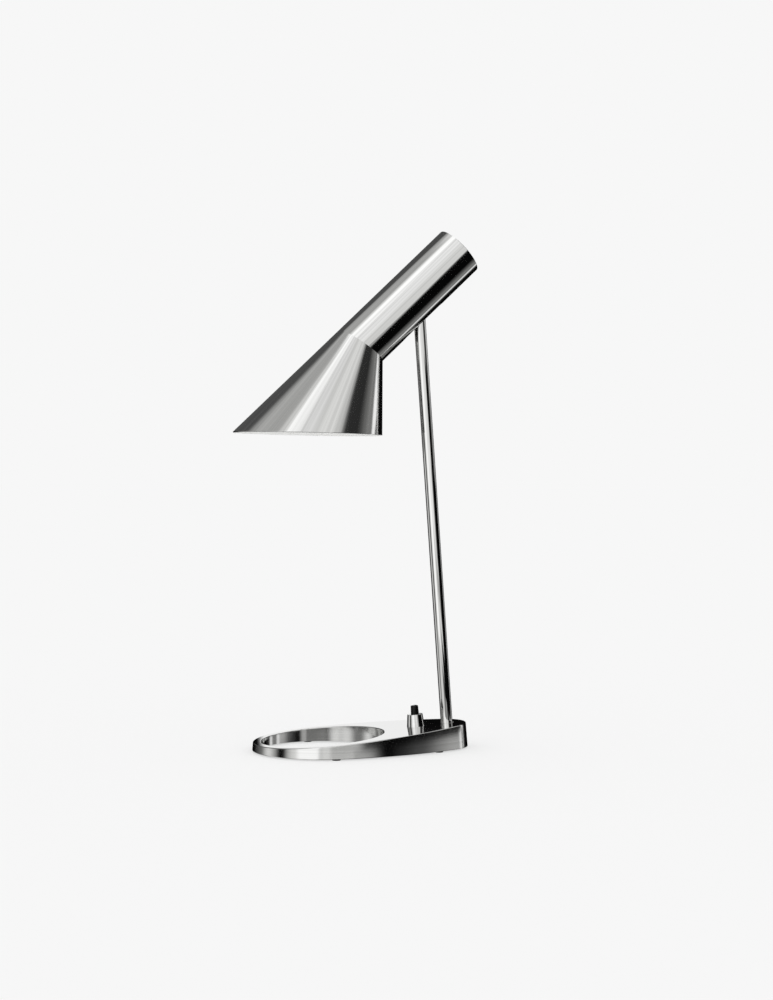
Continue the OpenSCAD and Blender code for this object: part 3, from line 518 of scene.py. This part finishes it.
def addTurned(bm, profile, place, steps):
    # Turns a half section of (radius, height) points about the place's z axis
    old = set(bm.verts)
    points = [bm.verts.new((radius, 0, height)) for radius, height in profile]
    edges = [bm.edges.new(pair) for pair in zip(points, points[1:])]
    turnRound(bm, points + edges, fullTurn, steps)
    bmesh.ops.remove_doubles(bm, verts=[v for v in bm.verts if v not in old], dist=touch)
    new = [v for v in bm.verts if v not in old]
    bmesh.ops.recalc_face_normals(bm, faces=list({f for v in new for f in v.link_faces}))
    bmesh.ops.transform(bm, matrix=place, verts=new)


def addDisc(bm, radius, low, high, place, steps):
    # A plain round block between two heights
    addTurned(bm, [(0, low), (radius, low), (radius, high), (0, high)], place, steps)


def closeUp(bm):
    bmesh.ops.holes_fill(bm, edges=bm.edges[:])
    bmesh.ops.recalc_face_normals(bm, faces=bm.faces[:])


def faceOutward(bm):
    # Points the faces of an open turned sheet away from the z axis
    bmesh.ops.recalc_face_normals(bm, faces=bm.faces[:])
    centres = [(face.normal, face.calc_center_median()) for face in bm.faces]
    if sum(normal.dot(Vector((centre.x, centre.y, 0))) for normal, centre in centres) < 0:
        bmesh.ops.reverse_faces(bm, faces=bm.faces[:])


def cutOff(bm, point, normal, outer=True):
    # Takes away what lies on one side of a plane: outer is the side that the normal points to
    bmesh.ops.bisect_plane(bm, geom=bm.verts[:] + bm.edges[:] + bm.faces[:], plane_co=point, plane_no=normal,
                           clear_outer=outer, clear_inner=not outer)


def softenEdges(bm, width, chosen, segments, angle):
    # Rounds those of the chosen edges that turn by more than the angle
    settle(bm)
    least = math.radians(angle)
    sharp = [e for e in bm.edges if len(e.link_faces) == 2 and e.calc_face_angle() > least and chosen(e)]
    bmesh.ops.bevel(bm, geom=sharp, offset=width, offset_type="OFFSET", segments=segments, profile=0.5,
                    affect="EDGES", material=-1, clamp_overlap=True)


def above(height):
    # Chooses the edges that lie above a height
    return lambda edge: min(v.co.z for v in edge.verts) > height


def carve(bm, tool):
    # Cuts one closed shape out of another
    shapes = []
    for part in (bm, tool):
        settle(part)
        shapes.append(addObject("carve", meshFrom(part, "carve")))
    modifier = shapes[0].modifiers.new("carve", "BOOLEAN")
    modifier.operation, modifier.solver, modifier.object = "DIFFERENCE", "EXACT", shapes[1]
    bpy.context.view_layer.update()
    cut = bpy.data.meshes.new_from_object(shapes[0].evaluated_get(bpy.context.evaluated_depsgraph_get()))
    result = bmesh.new()
    result.from_mesh(cut)
    for mesh in [cut] + [shape.data for shape in shapes]:
        bpy.data.meshes.remove(mesh)
    return result


# A true edge turns by sharpAngle degrees, or by levelTurn where one face is areaRatio times the other
edgePlan = {"sharpAngle": 30, "levelTurn": 4, "areaRatio": 12}


def finishPiece(bm, name, body, replaced, materials, sharpAngle=edgePlan["sharpAngle"]):
    # Smooth faces with true edges kept. A large face also keeps its own direction beside a small rounded
    # edge, so what it mirrors stays straight. Then mm become metres, and the piece is tied to the frame.
    settle(bm)
    for face in bm.faces:
        face.smooth = True
    for edge in bm.edges:
        if len(edge.link_faces) != 2:
            continue
        turn = math.degrees(edge.calc_face_angle())
        small, large = sorted(face.calc_area() for face in edge.link_faces)
        alike = turn < edgePlan["levelTurn"] or large < edgePlan["areaRatio"] * small
        edge.smooth = turn < sharpAngle and alike
    bmesh.ops.transform(bm, matrix=Matrix.Scale(mm, 4), verts=bm.verts)
    piece = addObject(name, meshFrom(bm, name))
    for material in materials:
        piece.data.materials.append(finishes[material])
    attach(piece, body)
    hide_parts(*replaced)
    return piece


# Base: a wedge in plan like a drop, with leaning walls, a large hole and a wiring chamber
basePlan = {
    "frontCentre": (-26.545, 0), "frontRadius": 60.98,
    "rearCentre": (63.355, 0), "rearRadius": 31.98,
    "sideCentre": (-39.82, 165.47), "sideRadius": 226.98,
    "frontTurn": 85.41, "rearTurn": 58.05,  # degrees round from the back at which front and rear arc end
    "frontSteps": 190, "sideSteps": 60, "rearSteps": 96,
    "join": 0.02,  # mm within which the ends of two arcs are made one
    "bottom": 1.0, "blockHeight": 20.35, "draft": 4.6,
    "under": -4,  # every cut from below starts here
    "holeCentre": (-29.045, 0), "holeRadius": 51.3, "holeTop": 40, "holeSteps": 256,
    "chamberFront": (30.455, 34.0), "chamberRadius": 25.5, "chamberSteps": 48, "chamberTop": 22,
    "roof": 4.0, "ledge": 2.0, "coverTop": 2.5,
    "posts": [(37.46, 26.99), (37.46, -26.99), (77.52, 17.49), (77.52, -17.49)],
    "postRadius": 3.5, "postTop": 22.5, "postSteps": 32,
    "bossRadius": 8.5, "bossTop": 28, "webHeight": 12.11, "socketHeight": 14.61,
    "nippleHole": 4.15, "nippleFrom": 9.11, "socketRadius": 5.05, "socketTop": 32,
    "switchHole": 5.2, "switchFrom": -7, "switchTop": 5,
    "bushSeat": 6, "bushFrom": -6, "bushHole": 4.55, "bushTo": 12,
    "boreSteps": 64,
    "edge": 0.55, "footEdge": 0.45, "sharpAngle": 32,
    "wallLooksUp": (0.05, 0.3), "levelTop": 0.6, "levelUnder": 0.9,  # shares of straight up or down
}


def addWall(bm, plan, centre, radius, start, sweep, steps):
    # One ruled wall of the outline, leaning in as it rises
    lean = plan["blockHeight"] * math.tan(math.radians(plan["draft"]))
    turn = math.radians(start)
    ends = []
    for reach, height in ((radius, plan["bottom"]), (radius - lean, plan["bottom"] + plan["blockHeight"])):
        x, y = centre[0] + reach * math.cos(turn), centre[1] + reach * math.sin(turn)
        ends.append(bm.verts.new((x, y, height)))
    edge = bm.edges.new(ends)
    turnRound(bm, ends + [edge], math.radians(sweep), steps, centre)


def onlyVerts(geom):
    return [item for item in geom if isinstance(item, bmesh.types.BMVert)]


def chamberBlock(plan, grow, high):
    # The wiring chamber's plan as a block: a round back and two straight sides
    bm = bmesh.new()
    x, y = plan["rearCentre"]
    low = plan["under"]
    start = bm.verts.new((x, y - plan["chamberRadius"] - grow, low))
    arc = turnRound(bm, [start], math.pi, plan["chamberSteps"], (x, y))
    last = onlyVerts(arc)[0]
    front, half = plan["chamberFront"][0] - grow, plan["chamberFront"][1] + grow
    corners = [bm.verts.new((front, half, low)), bm.verts.new((front, -half, low))]
    for pair in ((last, corners[0]), (corners[0], corners[1]), (corners[1], start)):
        bm.edges.new(pair)
    bmesh.ops.holes_fill(bm, edges=bm.edges[:])
    grown = bmesh.ops.extrude_face_region(bm, geom=bm.faces[:])["geom"]
    bmesh.ops.translate(bm, vec=(0, 0, high - low), verts=onlyVerts(grown))
    bmesh.ops.recalc_face_normals(bm, faces=bm.faces[:])
    return bm


def buildBase(plan):
    bm = bmesh.new()
    front, rear, side = plan["frontCentre"], plan["rearCentre"], plan["sideCentre"]
    fromFront, fromRear = plan["frontTurn"], plan["rearTurn"]
    sideSweep = fromFront - fromRear
    addWall(bm, plan, front, plan["frontRadius"], fromFront, 360 - 2 * fromFront, plan["frontSteps"])
    addWall(bm, plan, side, plan["sideRadius"], -fromFront, sideSweep, plan["sideSteps"])
    addWall(bm, plan, rear, plan["rearRadius"], -fromRear, 2 * fromRear, plan["rearSteps"])
    addWall(bm, plan, (side[0], -side[1]), plan["sideRadius"], fromRear, sideSweep, plan["sideSteps"])
    bmesh.ops.remove_doubles(bm, verts=bm.verts[:], dist=plan["join"])
    cutOff(bm, baseTip, topNormal)
    closeUp(bm)

    chamber = chamberBlock(plan, 0, plan["chamberTop"])
    cutOff(chamber, baseTip - topNormal * plan["roof"], topNormal)
    closeUp(chamber)
    pillars = bmesh.new()
    for x, y in plan["posts"]:
        post = Matrix.Translation((x, y, 0))
        addDisc(pillars, plan["postRadius"], plan["coverTop"], plan["postTop"], post, plan["postSteps"])
    addDisc(pillars, plan["bossRadius"], plan["webHeight"], plan["bossTop"], stemFrame, plan["boreSteps"])
    bm = carve(bm, carve(chamber, pillars))
    bm = carve(bm, chamberBlock(plan, plan["ledge"], plan["coverTop"]))

    holes = bmesh.new()
    holePlace = Matrix.Translation((*plan["holeCentre"], 0))
    addDisc(holes, plan["holeRadius"], plan["under"], plan["holeTop"], holePlace, plan["holeSteps"])
    nipple, socket = plan["nippleHole"], plan["socketRadius"]
    addTurned(holes, [(0, plan["nippleFrom"]), (nipple, plan["nippleFrom"]), (nipple, plan["socketHeight"]),
                      (socket, plan["socketHeight"]), (socket, plan["socketTop"]), (0, plan["socketTop"])],
              stemFrame, plan["boreSteps"])
    addDisc(holes, plan["switchHole"], plan["switchFrom"], plan["switchTop"], switchFrame, plan["boreSteps"])
    seat, bore = plan["bushSeat"], plan["bushHole"]
    addTurned(holes, [(0, plan["bushFrom"]), (seat, plan["bushFrom"]), (seat, 0), (bore, 0),
                      (bore, plan["bushTo"]), (0, plan["bushTo"])], inletFrame, plan["boreSteps"])
    bm = carve(bm, holes)

    def onTop(edge):
        return all(abs((v.co - baseTip).dot(topNormal)) < touch for v in edge.verts)

    def atFoot(edge):
        # Of the faces at the foot, only the outer walls look up a little
        low, high = plan["wallLooksUp"]
        outer = [f for f in edge.link_faces if low < f.normal.z < high]
        return bool(outer) and max(v.co.z for v in edge.verts) < plan["bottom"] + touch

    softenEdges(bm, plan["edge"], onTop, segments=3, angle=plan["sharpAngle"])
    softenEdges(bm, plan["footEdge"], atFoot, segments=2, angle=plan["sharpAngle"])
    # The top and the underside are polished, and the walls are brushed
    for face in bm.faces:
        level = face.normal.dot(topNormal) > plan["levelTop"] or face.normal.z < -plan["levelUnder"]
        face.material_index = 0 if level else 1
    finishPiece(bm, "baseShell", "stand", ["base_casting"], ["polishedTop", "brushedWall"])


buildBase(basePlan)
print("base built")

# Head: a tube with a slot for the stem, cut off at the bend, and a cone whose straight side carries the
# tube's on. Heights run along the tube from the bend.
headPlan = {
    "wall": 1.0, "openEnd": 122.6, "roundSteps": 240,
    "spare": 25,  # how far the tube runs past the bend before it is cut off
    "slotHalf": 5.75, "slotLow": 38.15, "slotHigh": 75.22, "slotSteps": 20,
    "slotMargin": 18,  # rows of faces this far from the slot keep its round ends tidy
    "softFrom": 30.15,  # edges above this height are rounded, which leaves the bend's edge crisp
    "coneStart": 18, "coneSpare": 1.5, "coneLine": 122.5, "rimAngle": 45.0, "coneSteps": 320,
    "seamClear": 3,  # the cone's edges nearer the bend than this stay crisp
    "edge": 0.22, "sharpAngle": 50,
}
mitreSlope = math.tan(coneHalf) / 2
mitreNormal = Vector((-mitreSlope, 0, 1)).normalized()
mitrePoint = Vector((0, 0, tubeRadius * mitreSlope))


def buildTube(plan):
    bm = bmesh.new()
    slotHalf, low, high, margin = plan["slotHalf"], plan["slotLow"], plan["slotHigh"], plan["slotMargin"]
    half = math.asin(slotHalf / tubeRadius)
    x, y = tubeRadius * math.cos(half), tubeRadius * math.sin(half)
    rows = (-plan["spare"], low - margin, low, high, high + margin, plan["openEnd"])
    points = [bm.verts.new((x, -y, height)) for height in rows]
    edges = [bm.edges.new(pair) for pair in zip(points, points[1:])]
    last = turnRound(bm, points + edges, 2 * half, plan["slotSteps"])
    turnRound(bm, last, fullTurn - 2 * half, plan["roundSteps"])
    bmesh.ops.remove_doubles(bm, verts=bm.verts[:], dist=touch)
    # Slot in the underside: its faces go, and its end rows move onto round ends
    centres = {face: face.calc_center_median() for face in bm.faces}
    inSlot = [face for face, at in centres.items()
              if at.x > 0 and abs(at.y) < slotHalf and low < at.z < high]
    bmesh.ops.delete(bm, geom=inSlot, context="FACES")
    for v in bm.verts:
        if v.co.x > 0 and abs(v.co.y) < slotHalf - touch:
            bulge = math.sqrt(slotHalf ** 2 - v.co.y ** 2)
            if abs(v.co.z - low) < touch:
                v.co.z -= bulge
            elif abs(v.co.z - high) < touch:
                v.co.z += bulge
    cutOff(bm, mitrePoint, mitreNormal, outer=False)
    faceOutward(bm)
    bmesh.ops.solidify(bm, geom=bm.faces[:], thickness=plan["wall"])
    softenEdges(bm, plan["edge"], above(plan["softFrom"]), segments=2, angle=plan["sharpAngle"])
    bmesh.ops.transform(bm, matrix=headFrame, verts=bm.verts)
    finishPiece(bm, "headTube", "head", ["shade_tube"], ["brushedTube"])


def buildCone(plan):
    bm = bmesh.new()
    reach = (coneApex.z + plan["coneLine"]) * plan["coneSpare"]
    side = [(d * math.sin(coneHalf), -d * math.cos(coneHalf)) for d in (plan["coneStart"], reach / 3, reach)]
    addTurned(bm, side, Matrix.Identity(4), plan["coneSteps"])
    faceOutward(bm)
    bmesh.ops.transform(bm, matrix=coneInHead, verts=bm.verts)
    cutOff(bm, mitrePoint, mitreNormal)
    rim = math.radians(plan["rimAngle"])
    cutOff(bm, (-tubeRadius, 0, -plan["coneLine"]), (-math.sin(rim), 0, math.cos(rim)), outer=False)
    bmesh.ops.solidify(bm, geom=bm.faces[:], thickness=plan["wall"])
    # Faces that look towards the cone's axis are the enamelled inside
    axis = (coneInHead.to_3x3() @ Vector((0, 0, -1))).normalized()
    for face in bm.faces:
        arm = face.calc_center_median() - coneApex
        arm -= axis * arm.dot(axis)
        face.material_index = 1 if face.normal.dot(arm) < 0 else 0

    def pastSeam(edge):
        return min((v.co - mitrePoint).dot(mitreNormal) for v in edge.verts) < -plan["seamClear"]

    softenEdges(bm, plan["edge"], pastSeam, segments=2, angle=plan["sharpAngle"])
    bmesh.ops.transform(bm, matrix=headFrame, verts=bm.verts)
    finishPiece(bm, "headCone", "head", ["shade_cone"], ["brushedCone", "whiteEnamel"])


buildTube(headPlan)
buildCone(headPlan)
print("head built")

# Turned pieces: half sections of (radius, height) in mm along each piece's own axis
turnedPlan = {
    "stemTube": {
        "body": "stand", "node": "stem_tube", "slot": "stem_steel", "finish": "polishedStem",
        "place": stemFrame,
        "profile": [(4, 14.61), (5, 14.61), (5, 120), (5, 250), (5, 372.08), (4, 372.08), (4, 14.61)],
        "edge": 0.25, "steps": 128,
    },
    "switchCollar": {
        "body": "stand", "node": "switch_collar", "slot": "collar_steel", "finish": "turnedCollar",
        "place": switchFrame,
        "profile": [(5.05, 0), (7.5, 0), (6.4, 10.2), (3.5, 10.2), (3.5, 8.7), (5.05, 8.7), (5.05, 0)],
        "edge": 0.2, "steps": 96,
    },
    "switchButton": {
        "body": "button", "node": "switch_button", "slot": "button_plastic", "finish": "glossBlack",
        "place": switchFrame,
        "profile": [(0, -3), (1.9, -3), (1.9, 6.7), (4.15, 6.7), (4.15, 8.2), (3.4, 8.2), (3.4, 10.2),
                    (3.13, 17.6), (0, 17.6)],
        "edge": 0.9, "steps": 64,
    },
    "inletBush": {
        "body": "stand", "node": "inlet_bush", "slot": "bush_plastic", "finish": "blackNylon",
        "place": inletFrame,
        "profile": [(3.2, -1.5), (5.8, -1.5), (5.8, 0), (4.5, 0), (4.5, 5.41), (3.2, 5.41), (3.2, -1.5)],
        "edge": 0.25, "steps": 48,
    },
}


def buildTurned(name, plan):
    # Only the edges at the outer end are rounded
    bm = bmesh.new()
    addTurned(bm, plan["profile"], Matrix.Identity(4), plan["steps"])
    top = max(height for radius, height in plan["profile"])
    softenEdges(bm, plan["edge"], above(top - near), segments=3, angle=40)
    bmesh.ops.transform(bm, matrix=plan["place"], verts=bm.verts)
    finishPiece(bm, name, plan["body"], [plan["node"]], [plan["finish"]])


for name, plan in turnedPlan.items():
    buildTurned(name, plan)

# Return spring of the button: a coil with closed ends, built at rest; the real spring shortens as the button
# goes down
springPlan = {
    "radius": 3.35, "wireRadius": 0.3, "low": 1.5, "high": 6.7, "pushedLength": 2.7,
    "turns": 3.5, "closedTurns": 0.75, "closedClimb": 0.47, "turnSteps": 36, "sides": 10, "sharpAngle": 60,
}


def buildSpring(plan):
    # The wire's section is swept up round the axis: a closed end, the open turns and the other closed end
    bm = bmesh.new()
    wire = plan["wireRadius"]
    start = (Matrix.Translation((plan["radius"], 0, plan["low"] + wire))
             @ Matrix.Rotation(math.radians(90), 4, "X") @ Matrix.Rotation(math.radians(-90), 4, "Z"))
    bmesh.ops.create_circle(bm, cap_ends=True, segments=plan["sides"], radius=wire, matrix=start)
    end = bm.verts[:] + bm.edges[:] + bm.faces[:]
    openTurns = plan["turns"] - 2 * plan["closedTurns"]
    openClimb = plan["high"] - plan["low"] - 2 * wire - 2 * plan["closedClimb"]
    closedEnd = (plan["closedTurns"], plan["closedClimb"])
    for turns, climb in (closedEnd, (openTurns, openClimb), closedEnd):
        steps = round(turns * plan["turnSteps"])
        end = turnRound(bm, end, turns * fullTurn, steps, climb=climb / steps)
    bmesh.ops.recalc_face_normals(bm, faces=bm.faces[:])
    bmesh.ops.transform(bm, matrix=switchFrame, verts=bm.verts)
    spring = finishPiece(bm, "switchSpring", "stand", ["switch_spring"], ["springWire"],
                         plan["sharpAngle"])
    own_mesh(spring)


buildSpring(springPlan)

# Foot pads: one rubber disc for each pad's node
padPlan = {
    "height": 1.0, "radius": 3.5, "edge": 0.3, "steps": 48,
    "places": {"foot_pad_front_near": (-30.045, -57.0), "foot_pad_front_far": (-30.045, 57.0),
               "foot_pad_rear_near": (62.355, -32.5), "foot_pad_rear_far": (62.355, 32.5)},
}


def buildPad(plan, node):
    # Only the edge that touches the table is rounded
    bm = bmesh.new()
    place = Matrix.Translation((*plan["places"][node], 0))
    addDisc(bm, plan["radius"], 0, plan["height"], place, plan["steps"])
    softenEdges(bm, plan["edge"], lambda edge: max(v.co.z for v in edge.verts) < near, segments=2, angle=40)
    finishPiece(bm, node.replace("foot_pad", "pad"), "stand", [node], ["mattRubber"])


for node in padPlan["places"]:
    buildPad(padPlan, node)
print("turned pieces built")

# Bulb: a candle-shaped opal glass in a screw cap. Heights run along the tube from the bend.
bulbPlan = {
    "radius": 17.4, "length": 69.8, "mouth": 2.0, "wall": 0.9,
    "neckRadius": 6.2, "neckLow": 3.0, "neckTop": 8.9,
    "shape": [(0.52, 0.08), (0.78, 0.18), (0.95, 0.3), (1, 0.4), (0.96, 0.52), (0.84, 0.65), (0.66, 0.78),
              (0.44, 0.89), (0.2, 0.97), (0, 1)],  # shares of the radius and of the length below the mouth
    "steps": 32,
    "capProfile": [(0, 23.6), (5.9, 23.6), (5.9, 10), (6.35, 9.5), (6.35, 3.5), (6.78, 3.5)],
    "capTop": [(6.3, 24.5), (5.4, 24.5), (2.4, 25.2), (2.4, 28.35), (0, 28.35)],
    "capRadius": 6.78, "capRows": 56, "capSteps": 96, "shoulder": 0.3,
    "threadLow": 9.5, "threadHigh": 22.5, "threadPitch": 2.82, "threadDepth": 0.4, "threadFade": 1.5,
    "insulator": (2.5, 5.3),
}


def buildGlass(plan):
    bm = bmesh.new()
    radius, mouth = plan["radius"], plan["mouth"]
    outline = [(plan["neckRadius"], plan["neckTop"]), (plan["neckRadius"], plan["neckLow"])]
    outline += [(radius * wide, mouth - plan["length"] * down) for wide, down in plan["shape"]]
    addTurned(bm, outline, Matrix.Identity(4), plan["steps"])
    faceOutward(bm)
    bmesh.ops.solidify(bm, geom=bm.faces[:], thickness=plan["wall"])
    bmesh.ops.transform(bm, matrix=headFrame, verts=bm.verts)
    glass = finishPiece(bm, "bulbGlass", "head", ["bulb_globe"], ["opalGlass"], sharpAngle=180)
    rounded = glass.modifiers.new("blown", "SUBSURF")
    rounded.levels = rounded.render_levels = 2


def buildCap(plan):
    # The rolled thread is a wave that climbs one pitch a turn and fades out at both ends
    bm = bmesh.new()
    low, high = plan["capProfile"][-1][1], plan["capTop"][0][1]
    rows, rise = plan["capRows"], high - plan["shoulder"] - low
    side = [(plan["capRadius"], low + rise * row / rows) for row in range(1, rows + 1)]
    addTurned(bm, plan["capProfile"] + side + plan["capTop"], Matrix.Identity(4), plan["capSteps"])
    for v in bm.verts:
        radius = math.hypot(v.co.x, v.co.y)
        if radius > plan["capRadius"] - near and plan["threadLow"] < v.co.z < plan["threadHigh"]:
            wave = 0.5 - 0.5 * math.cos(fullTurn * v.co.z / plan["threadPitch"] - math.atan2(v.co.y, v.co.x))
            fromEnd = min(v.co.z - plan["threadLow"], plan["threadHigh"] - v.co.z)
            share = 1 - plan["threadDepth"] * wave * min(1, fromEnd / plan["threadFade"]) / radius
            v.co.x *= share
            v.co.y *= share
    inside, outside = plan["insulator"]
    for face in bm.faces:
        centre = face.calc_center_median()
        if centre.z > high - near and inside < math.hypot(centre.x, centre.y) < outside:
            face.material_index = 1
    bmesh.ops.transform(bm, matrix=headFrame, verts=bm.verts)
    finishPiece(bm, "bulbCap", "head", ["bulb_cap"], ["nickelCap", "blackPhenolic"],
                sharpAngle=40)


# Vented cap, set back in the open end of the tube
endCapPlan = {
    "radius": 20.83, "low": 116.4, "high": 117.6, "steps": 128,
    "vents": 10, "ventRadius": 2.2, "ventCircle": 12, "ventSteps": 40,
    "edge": 0.3,
}


def buildEndCap(plan):
    disc = bmesh.new()
    addDisc(disc, plan["radius"], plan["low"], plan["high"], Matrix.Identity(4), plan["steps"])
    vents = bmesh.new()
    for vent in range(plan["vents"]):
        turn = Matrix.Rotation(fullTurn * vent / plan["vents"], 4, "Z")
        place = turn @ Matrix.Translation((plan["ventCircle"], 0, 0))
        addDisc(vents, plan["ventRadius"], plan["low"] - past, plan["high"] + past, place, plan["ventSteps"])
    bm = carve(disc, vents)
    softenEdges(bm, plan["edge"], above(plan["high"] - near), segments=2, angle=50)
    bmesh.ops.transform(bm, matrix=headFrame, verts=bm.verts)
    # The cap's matt black also stands in for the shade of an open tube end: painted shade
    finishPiece(bm, "endCap", "head", ["tube_end_cap"], ["capBlackShade"])


buildGlass(bulbPlan)
buildCap(bulbPlan)
buildEndCap(endCapPlan)
print("bulb and end cap built")

# CAD nodes whose shape is right get their real finish
nodeFinish = {
    "greyPaint": ["bottom_cover"],
    "zincSteel": ["cover_screws", "switch_washer", "stem_washer", "stem_nut", "pivot_pin",
                  "pivot_spring_washer", "pivot_nut", "holder_nut"],
    "paleNylon": ["terminal_block"],
    "bareBrass": ["terminal_screws", "switch_terminals", "stem_nipple", "holder_nipple", "holder_sleeve",
                  "holder_contact"],
    "blackPhenolic": ["switch_body", "holder_cap", "holder_body"],
    "turnedSteel": ["stem_knuckle"],
    "paleSheath": ["stem_lead", "head_lead"],
    "millSheet": ["pivot_bracket"],
    "pressedFibre": ["friction_washers"],
}
for finish, names in nodeFinish.items():
    for name in names:
        mesh = nodes[name].data
        if not mesh.materials:
            mesh.materials.append(None)
        for slot in nodes[name].material_slots:
            slot.material = finishes[finish]
print("finishes given to", sum(len(names) for names in nodeFinish.values()), "frame nodes")
